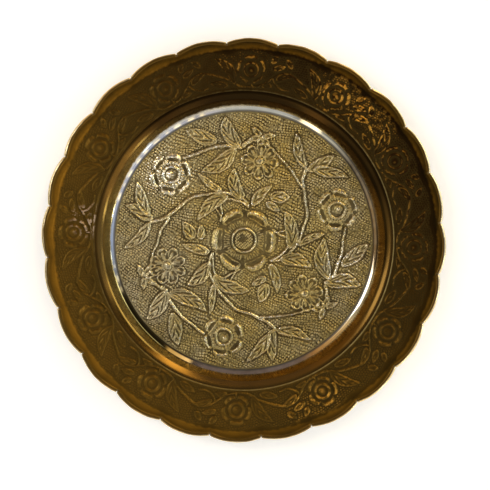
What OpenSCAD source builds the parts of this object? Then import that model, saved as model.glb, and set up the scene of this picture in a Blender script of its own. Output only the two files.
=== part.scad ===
// Round brass tray with a scalloped, wired edge and a pressed flower-and-leaf relief.
// The origin is the centre of the face that it rests on, and +Z is up.

/* [Tray] */
// Width across the tips of the scallops
tray_d = 250; // [235:1:275]
// Thickness of the brass sheet
sheet_t = 0.8; // [0.6:0.05:1]
// Number of scallops round the edge, two to each flower of the rim
scallops = 24; // [20:2:28]
// Radius of the arc of one scallop
scallop_r = 40; // [34:1:48]

/* [Well] */
// Width of the flat floor
floor_d = 160; // [150:1:168]
// Depth of the floor below the rim
well_depth = 10; // [9:0.5:14]
// Radius of the hollow curve at the foot of the wall
cove_r = 4.5; // [3:0.5:6]
// Radius of the rounded shoulder at the top of the wall
shoulder_r = 7; // [5:0.5:9]
// Steepest slope of the wall, in degrees
wall_slope = 62; // [52:1:72]

/* [Rim] */
// Width of the plain border between the embossed rim and the cusps
border_w = 8; // [6:0.5:10]
// Width of the fine raised line at the inner edge of the rim
line_w = 1; // [0.6:0.1:1.4]

/* [Wired edge] */
// Diameter of the wire inside the lip
wire_d = 1.6; // [1.2:0.1:2.4]
// Clearance round the wire inside the lip
wire_fit = 0.05; // [0.02:0.01:0.1]
// Height of the rolled lip above the border
lip_rise = 0.3; // [0.2:0.05:0.4]
// Opening left where the lip curls back under the border, in degrees
curl_gap = 60; // [30:5:80]
// Gap left between the lips of two scallops, where each cusp is nicked
nick_w = 0.3; // [0.2:0.1:1]

/* [Foot] */
// Distance that the foot ring is set in from the edge of the flat floor
foot_inset = 1.5; // [1:0.5:6]
// Thickness of the foot ring
foot_t = 1.6; // [1.2:0.1:2.4]
// Height of the foot ring
foot_h = 3; // [2:0.5:6]
// Width of the bevels along the foot ring's lower edges
foot_bevel = 0.3; // [0.1:0.1:0.5]
// Width of the solder fillet inside the foot ring
solder_w = 1.2; // [0.8:0.1:1.8]

/* [Relief] */
// Height of the embossed flowers and leaves of the floor
floor_rise = 0.9; // [0.6:0.1:1.6]
// Height of the embossed flowers and leaves of the rim
rim_rise = 0.6; // [0.4:0.1:1]
// Width of the embossed stems of the floor
stem_w = 1.6; // [1:0.1:2]
// Plain margin between the floor's relief and the cove
field_margin = 4; // [3.5:0.5:6]
// Turn of the floor's relief against the scallops, in degrees
floor_turn = 2.5; // [-15:0.5:15]
// Petals of each daisy on the floor
daisy_petals = 12; // [10:1:16]
// Petals of each rose on the floor
rose_petals = 6; // [5:1:8]
// Petals of each flower on the rim
rim_petals = 5; // [4:1:6]

/* [Hidden] */

$fn = 96;
thin_fn = 24; // facets round the section of a stem or a ring
bite = 0.25; // how deep each raised form is rooted in the sheet
big = tray_d;

// Heights
floor_low = foot_h;
floor_top = floor_low + sheet_t;

// The wall's three stretches: the cove, the straight slope and the shoulder
floor_r = floor_d / 2;
cove_h = cove_r * (1 - cos(wall_slope));
shoulder_h = shoulder_r * (1 - cos(wall_slope));
slope_w = (well_depth - cove_h - shoulder_h) / tan(wall_slope);
rim_in = floor_r + (cove_r + shoulder_r) * sin(wall_slope) + slope_w;
rim_top = floor_top + well_depth;

// The lip: sheet rolled round the wire, a little proud of the rim
lip_in_r = wire_d / 2 + wire_fit;
lip_r = lip_in_r + sheet_t;
lip_path_r = scallop_r - lip_r;
lip_z = rim_top + lip_rise - lip_r;
curl_start = 168;

// The sheet ends inside the wall of the lip, between its hollow and its outside
sheet_up = rim_top - lip_z;
sheet_reach = (sqrt(pow(lip_in_r, 2) - pow(max(0, sheet_up - sheet_t), 2))
             + sqrt(pow(lip_r, 2) - pow(sheet_up, 2))) / 2;

// The scallops: each is an arc about a centre at scallop_c, and the arcs meet in cusps
pitch = 360 / scallops;
scallop_c = tray_d / 2 - scallop_r;
function cusp(r) = scallop_c * cos(pitch / 2)
                 + sqrt(pow(r, 2) - pow(scallop_c * sin(pitch / 2), 2));
border_in = cusp(scallop_r) - border_w;

// The wire turns sharply at each cusp, and the lips stop short of it
wire_cusp = cusp(lip_path_r);
wire_turn = atan2(wire_cusp * sin(pitch / 2), wire_cusp * cos(pitch / 2) - scallop_c);
lip_back = lip_r * tan(wire_turn - pitch / 2) + nick_w / 2;
lip_turn = wire_turn - atan(lip_back / lip_path_r);
bend_swell = wire_fit * 0.8; // the wire swells a little at its bends, and stays clear of the lip

// The foot's outside radius
foot_r = floor_r - foot_inset;

// The relief's own units: hundredths of the floor's field and of the rim's band
field = (floor_r - field_margin) / 100;
band = (border_in - rim_in) / 100;
rim_mid = (rim_in + tray_d / 2 - border_w) / 2;
low_rise = floor_rise * 0.7;

brass = [0.72, 0.60, 0.34];
bronze = [0.42, 0.32, 0.14];

// One arc of an outline, in steps, about a centre
function arc(cx, cy, r, from, to, steps = 8) =
    [for (i = [0:steps]) let (a = from + (to - from) * i / steps)
        [cx + r * cos(a), cy + r * sin(a)]];

// The pressed sheet from the middle to beyond the edge, cut open along a radius
module sheet_outline() {
    cove_z = floor_top + cove_r;
    shoulder_z = rim_top - shoulder_r;
    polygon(concat(
        [[0, floor_top]],
        arc(floor_r, cove_z, cove_r, -90, wall_slope - 90),
        arc(rim_in, shoulder_z, shoulder_r, 90 + wall_slope, 90),
        [[big, rim_top], [big, rim_top - sheet_t]],
        arc(rim_in, shoulder_z, shoulder_r - sheet_t, 90, 90 + wall_slope),
        arc(floor_r, cove_z, cove_r + sheet_t, wall_slope - 90, -90),
        [[0, floor_low]]));
}

// Puts its children at each scallop
module each_scallop() {
    for (i = [0:scallops - 1])
        rotate(pitch * i) children();
}

// Sweeps a section, drawn about the lip's middle with +X outwards, along one scallop
module along_scallop(turn) {
    translate([scallop_c, 0])
        rotate(-turn)
            rotate_extrude(angle = 2 * turn)
                translate([lip_path_r, 0]) children();
}

// The rolled lip, cut through
module lip_section() {
    difference() {
        circle(lip_r);
        circle(lip_in_r);
        polygon(concat([[0, 0]], [for (a = [curl_start, curl_start + curl_gap])
            2 * lip_r * [cos(a), sin(a)]]));
    }
}

// The sheet before it is embossed, up to where it runs into the lip
module plain_sheet() {
    intersection() {
        rotate_extrude() sheet_outline();
        linear_extrude(big)
            union() {
                circle(border_in + border_w / 2);
                each_scallop()
                    translate([scallop_c, 0]) circle(lip_path_r - sheet_reach);
            }
    }
}

module rolled_lips() {
    translate([0, 0, lip_z])
        each_scallop() along_scallop(lip_turn) lip_section();
}

// What a child has above the root of the relief
module rooted() {
    intersection() {
        children();
        translate([-big / 2, -big / 2, -bite]) cube(big);
    }
}

// A round boss or petal: a cap of a ball
module dome(r, rise) {
    ball = (r * r + rise * rise) / (2 * rise);
    rooted() translate([0, 0, rise - ball]) sphere(ball);
}

// A leaf along X: two balls that cross along the midrib
module leaf(length, width, rise) {
    half = length / 2;
    foot = (half * half + width * width / 4) / width;
    deep = (half * half - rise * rise) / (2 * rise);
    rooted()
        intersection_for (side = [-1, 1])
            translate([0, side * (foot - width / 2), -deep])
                sphere(sqrt(foot * foot + deep * deep));
}

// The section of a ridge: a round bead, cut off at the root of the relief
module ridge_section(width) {
    intersection() {
        circle(width / 2, $fn = thin_fn);
        translate([-width, -bite]) square(2 * width);
    }
}

// A ridge in a ring
module ring(r, width) {
    rotate_extrude() translate([r, 0]) ridge_section(width);
}

// A ridge along an arc about the origin, with its middle on +X
module arc_ridge(r, width, turn) {
    rotate(-turn / 2)
        rotate_extrude(angle = turn)
            translate([r, 0]) ridge_section(width);
}

// Directions that share out a full turn
function turns(count) = [for (i = [0:count - 1]) 360 / count * i];

// A place on the floor is a distance from its middle and an angle clockwise from +Y
function spot(p) = [p[0] * sin(p[1]), p[0] * cos(p[1])] * field;

// Puts its children at one place on each third of the floor, turned to each of the headings
module on_floor(place, headings = [0]) {
    for (third = turns(3), turn = headings)
        rotate(third) translate(spot(place)) rotate(turn) children();
}

module floor_leaf(place, heading, length, width) {
    on_floor(place, [heading]) leaf(length * field, width * field, floor_rise);
}

// A stem from one place to another, bowed sideways by bow
module stem(from, to, bow) {
    a = spot(from);
    b = spot(to);
    chord = norm(b - a);
    rise = bow * field;
    r = (chord * chord / 4 + rise * rise) / (2 * abs(rise));
    half = asin(chord / 2 / r);
    translate((a + b) / 2)
        rotate(atan2(b[1] - a[1], b[0] - a[0]))
            translate([0, sign(rise) * (abs(rise) - r)])
                rotate(sign(rise) * 90 - half)
                    rotate_extrude(angle = 2 * half)
                        translate([r, 0]) ridge_section(stem_w);
}

// A spray curls out from the middle on each third of the floor
module floor_relief() {
    middle = [0, 0];
    daisy = [66, 251];
    rose = [80, 192];
    translate([0, 0, floor_top])
        rotate(floor_turn) {
            // The large flower in the middle: a ringed boss and six petals with turned-over edges
            dome(6 * field, floor_rise);
            ring(9.5 * field, stem_w);
            on_floor(middle, [57, 117]) translate([15.5 * field, 0]) dome(8.5 * field, low_rise);
            on_floor(middle, [57, 117]) arc_ridge(22.4 * field, stem_w, 46);

            // Stems
            on_floor(middle) stem([28, 8], [77, 281], 14);
            on_floor(middle) stem([61, 287], [84, 249], 3);
            on_floor(middle) stem([84, 249], [75, 238], 1);
            on_floor(middle) stem([75, 238], [82, 204], -1.5);

            // Daisies with narrow petals
            on_floor(daisy) dome(4 * field, floor_rise);
            on_floor(daisy, turns(daisy_petals))
                translate([9 * field, 0]) leaf(12 * field, 4.4 * field, low_rise);

            // Roses, with a ring round the boss and broad petals
            on_floor(rose) dome(4 * field, floor_rise);
            on_floor(rose) ring(6.6 * field, stem_w);
            on_floor(rose, turns(rose_petals)) translate([13.2 * field, 0]) dome(5.4 * field, low_rise);

            // Leaves at the end of the long stem
            floor_leaf([86, 272], 224, 30, 9);
            floor_leaf([89, 285], 151, 26, 10);
            floor_leaf([90, 292], 109, 30, 9);

            // Leaves by the daisy and along the stem to the rose
            floor_leaf([89, 233], 237, 28, 12);
            floor_leaf([66, 223], 335, 34, 12);
            floor_leaf([92, 217], 278, 28, 11);

            // Leaves round the large flower
            floor_leaf([46, 351], 105, 27, 11);
            floor_leaf([39, 317], 219, 31, 11);
            floor_leaf([55, 328], 143, 25, 6);
            floor_leaf([36, 40], 328, 13, 7);
            floor_leaf([46, 40], 5, 16, 10);
            floor_leaf([40, 20], 44, 24, 8);
        }
}

// Puts its children on every second scallop's part of the rim, turned to each of the headings.
// A place is hundredths of the way to the next flower, clockwise, and a distance from the rim's middle.
module on_rim(place, headings = [0]) {
    for (flower = turns(scallops / 2), turn = headings)
        rotate(flower - place[0] * pitch / 50)
            translate([rim_mid + place[1] * band, 0])
                rotate(turn) children();
}

module rim_leaf(place, heading, length, width) {
    on_rim(place, [heading]) leaf(length * band, width * band, rim_rise);
}

// A vine of leaves, with a flower on every second scallop
module rim_relief() {
    flower = [0, 0];
    translate([0, 0, rim_top]) {
        ring(rim_in + line_w, line_w);
        on_rim(flower) dome(8 * band, rim_rise);
        on_rim(flower) ring(19 * band, 4 * band);
        on_rim(flower, turns(rim_petals))
            translate([32 * band, 0]) rotate(90) leaf(36 * band, 16 * band, rim_rise);

        // The long leaf before each flower and the one under it
        rim_leaf([-26, 3], 32, 92, 29);
        rim_leaf([-38, -36], 76, 55, 20);

        // The spray after each flower
        rim_leaf([20, -40], 277, 36, 15);
        rim_leaf([25, 34], 331, 28, 16);
        rim_leaf([30, 14], 292, 38, 17);
        rim_leaf([38, -7], 293, 51, 20);
        rim_leaf([40, 31], 42, 30, 16);
    }
}

// The whole tray as one pressed sheet: floor, wall, rim, border and rolled lip
module tray_body() {
    color(brass)
        union() {
            plain_sheet();
            rolled_lips();
            floor_relief();
            rim_relief();
        }
}

// The wire that the lip is rolled round
module edge_wire() {
    color(bronze)
        translate([0, 0, lip_z - wire_fit])
            each_scallop() {
                along_scallop(wire_turn) circle(wire_d / 2);
                rotate(pitch / 2) translate([wire_cusp, 0]) sphere(wire_d / 2 + bend_swell);
            }
}

// The ring that the tray stands on
module foot_ring() {
    color(brass)
        rotate_extrude()
            polygon([[foot_r - foot_t + foot_bevel, 0], [foot_r - foot_bevel, 0],
                     [foot_r, foot_bevel], [foot_r, foot_h],
                     [foot_r - foot_t, foot_h], [foot_r - foot_t, foot_bevel]]);
}

// The soft solder that runs into the corner inside the foot ring
module foot_solder() {
    inner_r = foot_r - foot_t;
    color("silver")
        rotate_extrude()
            polygon(concat([[inner_r, foot_h]],
                arc(inner_r - solder_w, foot_h - solder_w, solder_w, 90, 0)));
}

tray_body();
edge_wire();
foot_ring();
foot_solder();
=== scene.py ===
"""Dresses a round pressed brass tray: its embossed sheet, rolled lip, wire and foot, and a plain stage."""

import math

import bpy
import numpy as np
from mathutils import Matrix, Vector


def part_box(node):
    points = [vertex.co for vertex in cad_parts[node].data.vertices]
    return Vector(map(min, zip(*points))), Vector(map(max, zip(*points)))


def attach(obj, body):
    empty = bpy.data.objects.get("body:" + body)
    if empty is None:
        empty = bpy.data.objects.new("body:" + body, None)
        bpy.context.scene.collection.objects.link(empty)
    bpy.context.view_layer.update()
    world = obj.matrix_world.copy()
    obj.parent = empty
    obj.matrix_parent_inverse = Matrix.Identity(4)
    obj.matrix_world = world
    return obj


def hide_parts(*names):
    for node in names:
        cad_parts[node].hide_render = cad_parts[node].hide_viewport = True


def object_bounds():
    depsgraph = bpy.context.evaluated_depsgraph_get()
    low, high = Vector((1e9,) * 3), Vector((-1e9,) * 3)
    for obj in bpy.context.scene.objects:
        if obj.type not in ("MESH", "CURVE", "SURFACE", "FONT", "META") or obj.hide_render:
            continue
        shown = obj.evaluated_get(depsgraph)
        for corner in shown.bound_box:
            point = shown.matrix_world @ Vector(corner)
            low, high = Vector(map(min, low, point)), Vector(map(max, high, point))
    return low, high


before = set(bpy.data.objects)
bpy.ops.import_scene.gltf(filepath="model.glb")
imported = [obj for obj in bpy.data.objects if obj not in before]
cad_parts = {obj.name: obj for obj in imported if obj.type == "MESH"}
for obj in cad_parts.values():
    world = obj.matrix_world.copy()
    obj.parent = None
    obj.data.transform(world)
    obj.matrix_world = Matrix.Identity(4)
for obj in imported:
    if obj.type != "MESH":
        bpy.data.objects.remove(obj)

bl_info = {
    "name": "Pressed brass tray",
    "version": (1, 0, 0),
    "blender": (4, 5, 0),
    "location": "View3D > Sidebar > Tray",
    "description": "Builds an embossed brass tray with a scalloped, wired edge, and a stage for it",
    "category": "Add Mesh",
}

MM = 0.001
TAU = 2 * math.pi
CAD_LOW, CAD_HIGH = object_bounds()
BODY_LOW, BODY_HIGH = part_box("tray_body")


# ---------------------------------------------------------------- sizes and colours


def size_of(name, description, metres):
    return bpy.props.FloatProperty(name=name, description=description, default=metres, unit="LENGTH")


def angle_of(name, description, degrees):
    return bpy.props.FloatProperty(
        name=name, description=description, default=math.radians(degrees), subtype="ANGLE")


def number_of(name, description, value, unit="NONE"):
    return bpy.props.FloatProperty(name=name, description=description, default=value, unit=unit)


def colour_of(name, description, value):
    return bpy.props.FloatVectorProperty(
        name=name, description=description, default=value, subtype="COLOR", size=3, min=0, max=1)


class TraySizes(bpy.types.PropertyGroup):
    width: size_of("Width", "Across the tips of the scallops", BODY_HIGH.x - BODY_LOW.x)
    rest_height: size_of("Rest height", "Height of the sheet's underside above the table", BODY_LOW.z)
    sheet: size_of("Sheet", "Thickness of the brass sheet", 0.8 * MM)
    floor_width: size_of("Floor width", "Width of the flat floor", 160 * MM)
    well_depth: size_of("Well depth", "Depth of the floor below the rim", 10 * MM)
    cove: size_of("Cove", "Radius of the hollow curve at the foot of the wall", 4.5 * MM)
    shoulder: size_of("Shoulder", "Radius of the rounded shoulder at the top of the wall", 7 * MM)
    wall_slope: angle_of("Wall slope", "Steepest slope of the wall", 62)
    scallops: bpy.props.IntProperty(name="Scallops", description="Scallops round the edge", default=24)
    scallop_radius: size_of("Scallop radius", "Radius of the arc of one scallop", 40 * MM)
    wire: size_of("Wire", "Diameter of the wire inside the lip", 1.6 * MM)
    wire_fit: size_of("Wire fit", "Clearance round the wire", 0.05 * MM)
    lip_rise: size_of("Lip rise", "Height of the rolled lip above the border", 0.3 * MM)
    curl_start: angle_of("Curl start", "Where the lip leaves the sheet, from straight outwards", 168)
    curl_gap: angle_of("Curl gap", "Opening left where the lip curls back under the border", 60)
    nick: size_of("Nick", "Gap between the lips of two scallops", 0.3 * MM)


class TrayRelief(bpy.types.PropertyGroup):
    step: size_of("Mesh step", "Spacing of the mesh on the embossed side", 0.42 * MM)
    under_step: size_of("Underside step", "Spacing of the mesh on the underside", 1.1 * MM)
    floor_turn: angle_of("Floor turn", "Turn of the floor's relief against the scallops", 2.5)
    floor_height: number_of("Floor relief", "Scale of the floor's relief", 1.0)
    rim_height: number_of("Rim relief", "Scale of the rim's relief", 0.55)
    bead_pitch: size_of("Bead pitch", "Spacing of the beads of the ground", 1.6 * MM)
    border: size_of("Border", "Width of the plain border inside the edge", 7.4 * MM)


class TrayFinish(bpy.types.PropertyGroup):
    floor_brass: colour_of("Floor brass", "Olive brass of the floor", (0.515, 0.405, 0.162))
    warm_brass: colour_of("Warm brass", "Patches of the floor that are browner", (0.53, 0.37, 0.10))
    cold_brass: colour_of("Cold brass", "Patches of the floor that are greyer", (0.50, 0.43, 0.27))
    # Rubbed wear on the ridges, and painted highlights on the floor's bright patches and its upper left.
    worn_and_lit_brass: colour_of("Worn brass", "Ridges rubbed bright", (0.86, 0.77, 0.55))
    # Painted sparkle: small pale highlights on the floor's ridges.
    painted_sparkle: colour_of("Bright fleck", "Small spots where the ridges shine", (1.0, 0.97, 0.88))
    # Tarnish in the hollows, and painted shade: deeper hollows, beside the lip, the cove's lower left and the
    # floor's lower left and right.
    tarnish_and_shade_brown: colour_of("Recess brown", "Tarnish in the hollows of the relief", (0.05, 0.033, 0.009))
    cove_silver: colour_of("Cove", "Silvery brass of the cove, polished thin", (0.84, 0.79, 0.66))
    # Painted reflection: the cold blue of the surroundings on the cove's left side.
    cove_blue_reflection: colour_of("Cold cove", "The cove's left side, silvery blue", (0.70, 0.72, 0.76))
    # Painted shade: the cove's dull lower side.
    cove_painted_shade: colour_of("Dull cove", "Dull brown of the cove's lower side", (0.32, 0.26, 0.21))
    wall_bronze: colour_of("Wall bronze", "Brown of the wall and shoulder", (0.18, 0.098, 0.022))
    rim_bronze: colour_of("Rim bronze", "Aged brown of the rim", (0.138, 0.075, 0.012))
    # Painted shade: the darker bronze of the rim's upper right and of the wall's shaded side.
    painted_shade_bronze: colour_of("Shaded bronze", "Darker bronze of the side handled less", (0.026, 0.013, 0.004))
    # Rubbed wear on the rim's ridges, with the rim's painted golden glints and the wall's painted light at
    # its foot.
    worn_and_lit_bronze: colour_of("Worn bronze", "Ridges of the rim rubbed golden", (0.60, 0.30, 0.045))
    pale_wear: colour_of("Pale wear", "Pale speckles on the rim's left side", (0.75, 0.56, 0.42))
    border_gold: colour_of("Border gold", "Orange brass of the plain border", (0.38, 0.18, 0.018))
    # Partly rubbed wear, partly a painted highlight along the lip's outermost line and at its two sides.
    lip_wear_and_sheen: colour_of("Pale lip", "Lip rubbed pale by hands", (0.80, 0.66, 0.40))
    under_brass: colour_of("Underside brass", "Dull brass of the underside", (0.30, 0.225, 0.10))
    wire_brass: colour_of("Wire brass", "Tarnished drawn wire", (0.36, 0.25, 0.10))
    foot_brass: colour_of("Foot brass", "Satin brass of the foot", (0.42, 0.31, 0.14))
    solder_grey: colour_of("Solder grey", "Dull tin solder", (0.36, 0.35, 0.32))
    solder_dark: colour_of("Dark solder", "Tarnish of the solder", (0.12, 0.11, 0.10))
    stage_white: colour_of("Stage", "The plain pale floor", (0.93, 0.93, 0.93))
    stage_glow: colour_of("Stage glow", "What makes the pale floor look white", (0.45, 0.45, 0.45))


class TrayStage(bpy.types.PropertyGroup):
    view_distance: size_of("Camera height", "Height of the camera above the rim", 1.2)
    view_width: size_of("View width", "Width that the camera sees at the rim", 301.7 * MM)
    view_x: size_of("View centre X", "Centre of the view, right of the tray's middle", 0.7 * MM)
    view_y: size_of("View centre Y", "Centre of the view, above the tray's middle", -3.0 * MM)
    stage_size: size_of("Stage size", "Width of the plain floor", 6.0)
    window_power: number_of("Window", "Power of the large cool lamp", 4.2, "POWER")
    side_power: number_of("Side lamp", "Power of the soft lamp close to the left", 0.52, "POWER")
    world_light: number_of("Surroundings", "Brightness of the surroundings", 0.87)


# ---------------------------------------------------------------- form of the sheet, in millimetres


def mm(length):
    return length / MM


class Form:
    """The tray's main sizes, worked out from the ones that are set."""

    def __init__(self, sizes):
        self.sizes = sizes
        self.tip = mm(sizes.width) / 2
        self.arc = mm(sizes.scallop_radius)
        self.arc_middle = self.tip - self.arc
        self.sheet = mm(sizes.sheet)
        self.floor_top = mm(sizes.rest_height) + self.sheet
        self.floor_r = mm(sizes.floor_width) / 2
        self.rim_top = self.floor_top + mm(sizes.well_depth)
        self.cove = mm(sizes.cove)
        self.shoulder = mm(sizes.shoulder)
        self.slope = sizes.wall_slope
        flat = 1 - math.cos(self.slope)
        straight = mm(sizes.well_depth) - (self.cove + self.shoulder) * flat
        self.slope_w = straight / math.tan(self.slope)
        self.cove_out = self.floor_r + self.cove * math.sin(self.slope)
        self.rim_in = self.floor_r + (self.cove + self.shoulder) * math.sin(self.slope) + self.slope_w
        self.shoulder_in = self.rim_in - self.shoulder * math.sin(self.slope)
        self.lip_in = mm(sizes.wire) / 2 + mm(sizes.wire_fit)
        self.lip_out = self.lip_in + self.sheet
        self.lip_path = self.arc - self.lip_out
        self.lip_z = self.rim_top + mm(sizes.lip_rise) - self.lip_out
        up = self.rim_top - self.lip_z
        hollow = math.sqrt(self.lip_in ** 2 - max(0, up - self.sheet) ** 2)
        outside = math.sqrt(self.lip_out ** 2 - up ** 2)
        self.sheet_end = self.lip_path - (hollow + outside) / 2

    def scalloped(self, angle, arc):
        """Distance from the tray's middle to an edge made of arcs of that radius."""
        pitch = TAU / self.sizes.scallops
        turn = (angle + pitch / 2) % pitch - pitch / 2
        return self.arc_middle * np.cos(turn) + np.sqrt(arc ** 2 - (self.arc_middle * np.sin(turn)) ** 2)

    def wall(self, steps):
        """The wall's line from the floor to the rim: radius, height, slope."""
        line = [(self.floor_r + self.cove * math.sin(a), self.floor_top + self.cove * (1 - math.cos(a)), a)
                for a in np.linspace(0, self.slope, steps + 1)]
        r0, z0, _ = line[-1]
        rise = self.slope_w * math.tan(self.slope)
        line += [(r0 + self.slope_w * t, z0 + rise * t, self.slope)
                 for t in np.linspace(0, 1, steps // 2 + 1)[1:-1]]
        for a in np.linspace(self.slope, 0, steps + 4):
            drop = self.shoulder * (1 - math.cos(a))
            line.append((self.rim_in - self.shoulder * math.sin(a), self.rim_top - drop, a))
        return line


# ---------------------------------------------------------------- drawing the relief, in millimetres
# A place on the tray is a complex number. A motif gives the distance to its outline,
# negative inside, and its height.


def smooth(low, high, value):
    t = np.clip((value - low) / (high - low), 0, 1)
    return t * t * (3 - 2 * t)


def ridge(distance, width):
    return np.exp(-(distance / width) ** 2)


def turned(places, degrees):
    return places * np.exp(1j * np.radians(degrees))


LEAF_SWELL, LEAF_NARROW = 0.6, 0.85  # how fast a leaf widens from its foot and narrows to its tip


def leaf_width(along):
    return along ** LEAF_SWELL * (1 - along) ** LEAF_NARROW


def leaf(places, foot, tip, width, bow, vein):
    """A leaf with a raised outline, a midrib and bold veins that lean towards its tip."""
    axis = tip - foot
    length = abs(axis)
    q = (places - foot) / axis
    u, v = q.real, q.imag * length
    v = v - bow * length * 4 * u * (1 - u)
    along = np.clip(u, 0, 1)
    half = width / 2 * leaf_width(along) / leaf_width(LEAF_SWELL / (LEAF_SWELL + LEAF_NARROW))
    over = np.where(u < 0, -u, np.where(u > 1, u - 1, 0)) * length
    outside = np.maximum(abs(v) - half, 0)
    d = np.hypot(outside, over) + np.minimum(abs(v) - half, 0) * (over == 0)
    h = 0.6 * ridge(d + 0.5, 0.45)
    veins = 0.30 * np.cos(TAU * (abs(v) - 0.36 * u * length) / vein)
    h += (veins + 0.3 * ridge(v, 0.4) - 0.04) * smooth(-0.5, -1.1, d)
    return d, h


def curled_petal(places, middle, heading, length, width, height=0.7):
    """The turned-over edge of a petal: a hollow, a ridge outside it and a groove round both."""
    q = turned(places - middle, -heading)
    across = (q.imag + 0.03 * q.real ** 2) / width
    along = 2 * abs(q.real) / length
    d = np.maximum(abs(across) - 0.5 * np.sqrt(np.clip(1 - along ** 4, 0, 1)), 0.5 * (along - 1)) * width
    ends = smooth(1.0, 0.75, along)
    h = 0.08 + height * ridge(across - 0.14 + 0.05 * np.cos(9 * along), 0.13) * ends
    h -= 0.85 * ridge(across + 0.2, 0.16) * smooth(0.9, 0.45, along)
    return d, h


def smooth_line(points, steps=10):
    """A smooth run of places through the given ones."""
    p = [2 * points[0] - points[1], *points, 2 * points[-1] - points[-2]]
    line = []
    for a, b, c, e in zip(p, p[1:], p[2:], p[3:]):
        t = np.arange(steps) / steps
        line.append(0.5 * (2 * b + (c - a) * t + (2 * a - 5 * b + 4 * c - e) * t ** 2
                           + (3 * b - a - 3 * c + e) * t ** 3))
    return np.concatenate([*line, [points[-1]]])


def along_line(places, points):
    """The distance from a smooth line, the length along it and its whole length."""
    line = smooth_line(points)
    near = np.full(places.shape, np.inf)
    where = np.zeros(places.shape)
    run = 0.0
    for a, b in zip(line, line[1:]):
        q = (places - a) / (b - a)
        t = np.clip(q.real, 0, 1)
        d = abs(places - a - (b - a) * t)
        closer = d < near
        near = np.where(closer, d, near)
        where = np.where(closer, run + t * abs(b - a), where)
        run += abs(b - a)
    return near, where, run


def stem(places, points, width, end, beads):
    """A rounded stem that changes its width towards its end, or a row of beads."""
    d, s, run = along_line(places, points)
    half = width / 2 * (1 - (1 - end) * s / run)
    round_top = np.sqrt(np.clip(1 - (d / half) ** 2, 0, 1))
    h = 0.2 + 0.65 * round_top
    if beads:
        h *= 0.6 + 0.4 * np.cos(TAU * s / beads)
    return d - half, h


def petals(places, count, inner, outer, notch, gap):
    """Petals round a middle, each with a ridge round its outline and fine strokes along it."""
    r, a = abs(places), np.angle(places)
    t = (a * count / TAU) % 1.0 - 0.5
    side = (0.5 - abs(t)) * TAU * r / count
    tip = inner + (outer - inner) * (1 - notch * (2 * abs(t)) ** 2.2)
    h = 0.26 * np.cos(2 * count * a) * smooth(0.2 * outer, 0.4 * outer, r)
    h += 0.55 * ridge(r - tip + 0.6, 0.5) - 0.5 * ridge(r - tip + 2.4, 0.9) * smooth(0.9, 1.6, side)
    h += 0.3 * ridge(side - 1.0, 0.4) - 1.2 * gap * ridge(side, gap)
    return np.maximum(r - tip, inner - r), h


def fluted(places, inner, outer, count):
    """A collar of fine flutes round a middle."""
    r = abs(places)
    h = 0.2 + 0.18 * np.cos(count * np.angle(places)) * smooth(inner, inner + 1.2, r)
    return r - outer, h


def boss(places, radius, ring, height=0.65):
    """A round boss inside a raised ring."""
    r = abs(places)
    h = height * ridge(r - ring, 0.5) - 0.3 * ridge(r - ring + 1.3, 0.6)
    return r - radius, h + 0.6 * ridge(abs(places - (0.1 - 0.15j) * ring), ring * 0.3)


def unsteady(places):
    """Moves places a little, so that what is drawn there looks worked by hand."""
    x, y = places.real, places.imag
    side = 0.30 * np.sin(0.41 * y + 0.13 * x) + 0.10 * np.sin(1.07 * y - 0.38 * x)
    up = 0.30 * np.sin(0.37 * x - 0.17 * y + 2) + 0.10 * np.sin(1.13 * x + 0.29 * y)
    return places + (side + 1j * up) * smooth(11, 19, abs(places))


def worked(places):
    """Small uneven marks of the hammer and of wear."""
    x, y = places.real, places.imag
    wide = np.sin(1.9 * x + 0.6 * y + 1.4 * np.sin(0.8 * y))
    wide *= np.sin(1.7 * y - 0.7 * x + 1.2 * np.sin(0.6 * x))
    fine = np.sin(3.7 * x - 1.3 * y + 1.7 * np.sin(1.1 * y))
    fine *= np.sin(3.3 * y + 1.9 * x + 1.5 * np.sin(1.3 * x))
    return 0.13 * wide + 0.10 * fine


def kept_whole(height, sheet):
    """Levels off the hollows deeper than half the sheet, so that none goes through it."""
    start, depth = -0.5 * sheet, 0.35 * sheet
    return np.where(height < start, start + depth * np.tanh((height - start) / depth), height)


BODY = 0.35  # how far the middle of a motif is pressed up


class Relief:
    """The relief over a set of places: fine lines, and the plump body under each motif."""

    def __init__(self, places, ground=0.0):
        self.places = places
        self.lines = ground + np.zeros(places.shape)
        self.body = np.zeros(places.shape)

    def lay(self, motif, middle, reach, turn=0.0, groove=0.36, edge=0.35):
        """Lays a motif over what is there, with a groove round it, turned about the tray's middle."""
        places = turned(self.places, -turn)
        near = abs(places - middle) < reach
        d, h = motif(places[near])
        inside = smooth(edge / 2, -edge / 2, d)
        self.lines[near] = self.lines[near] * (1 - inside) + h * inside
        self.lines[near] -= groove * ridge(d - 0.55, 0.5) * (1 - inside)
        self.body[near] = np.maximum(self.body[near], BODY * smooth(0.3, -2.2, d))

    def lay_stem(self, points, width, end=1.0, beads=0.0, turn=0.0, groove=0.36):
        middle = sum(points) / len(points)
        reach = max(abs(p - middle) for p in points) + 2 * width
        self.lay(lambda w: stem(w, points, width, end, beads), middle, reach, turn, groove)

    def lay_leaf(self, foot, tip, width, bow, turn=0.0, groove=0.36, vein=2.3):
        reach = abs(tip - foot) / 2 + width
        self.lay(lambda w: leaf(w, foot, tip, width, bow, vein), (foot + tip) / 2, reach, turn, groove)


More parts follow.
